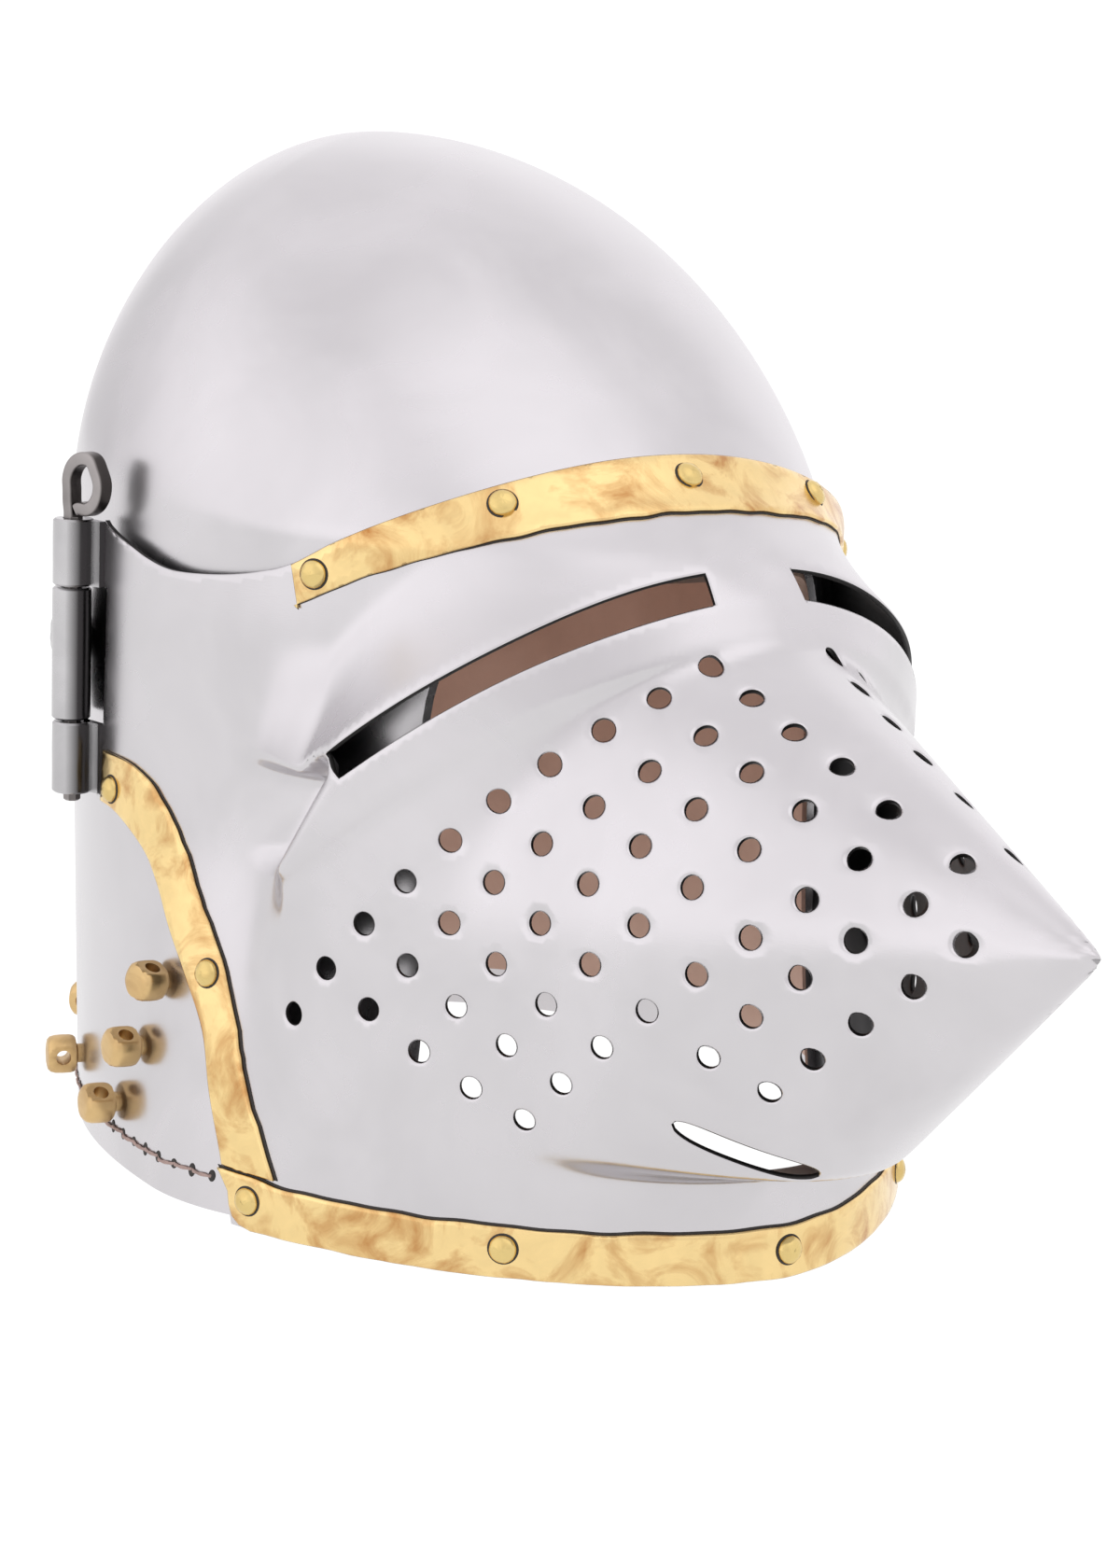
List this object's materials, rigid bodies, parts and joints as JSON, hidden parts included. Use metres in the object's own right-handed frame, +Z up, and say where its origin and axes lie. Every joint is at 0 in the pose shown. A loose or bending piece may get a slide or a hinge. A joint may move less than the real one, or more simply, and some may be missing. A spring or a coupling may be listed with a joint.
{
  "type": "hounskull bascinet",
  "caption": "Steel bascinet with a pointed, pierced visor that lifts on side pivots, brass trims and a leather lining.",
  "frame": {"origin": "centre of the helmet's footprint, at the level of the skull's rim", "axes": "+Z up, the snout points along -Y, and the wearer's right is at -X"},
  "size_m": [0.2228, 0.3628, 0.267],
  "materials": {
    "steel": "polished steel with a faint brushed grain",
    "brass": "polished brass with brown heat tints",
    "dark_steel": "dark forged steel",
    "old_brass": "worn satin brass",
    "leather": "plain brown leather",
    "thread": "waxed thread"
  },
  "bodies": {
    "skull_shell": {"skull": "steel", "liner": "leather", "lining_thread": "thread", "pivot_rivet_right": "steel", "vervelle_right_1": "old_brass", "vervelle_right_2": "old_brass", "vervelle_right_3": "old_brass", "vervelle_right_4": "old_brass", "vervelle_right_5": "old_brass", "pivot_rivet_left": "steel", "vervelle_left_1": "old_brass", "vervelle_left_2": "old_brass", "vervelle_left_3": "old_brass", "vervelle_left_4": "old_brass", "vervelle_left_5": "old_brass"},
    "visor_unit": {"visor": "steel", "brow_band": "brass", "chin_band": "brass", "side_strip_right": "brass", "hinge_arm_right": "dark_steel", "side_strip_left": "brass", "hinge_arm_left": "dark_steel", "brow_rivet_middle": "brass", "brow_rivet_right_2": "brass", "brow_rivet_left_2": "brass", "brow_rivet_right_3": "brass", "brow_rivet_left_3": "brass", "chin_rivet_middle": "brass", "chin_rivet_right_2": "brass", "chin_rivet_left_2": "brass", "chin_rivet_right_3": "brass", "chin_rivet_left_3": "brass", "side_rivet_right_1": "brass", "side_rivet_left_1": "brass", "side_rivet_right_2": "brass", "side_rivet_left_2": "brass"},
    "right_pin": {"hinge_pin_right": "dark_steel"},
    "left_pin": {"hinge_pin_left": "dark_steel"}
  },
  "joints": [
    {"name": "visor_lift", "type": "hinge", "parent": "skull_shell", "child": "visor_unit", "pos_m": [0, 0.1136, 0.131], "axis": [-1, 0, 0], "range_deg": [0, 80]},
    {"name": "right_pin_draw", "type": "slide", "parent": "visor_unit", "child": "right_pin", "axis": [0, 0, 1], "range_m": [0, 0.06]},
    {"name": "left_pin_draw", "type": "slide", "parent": "visor_unit", "child": "left_pin", "axis": [0, 0, 1], "range_m": [0, 0.06]}
  ]
}
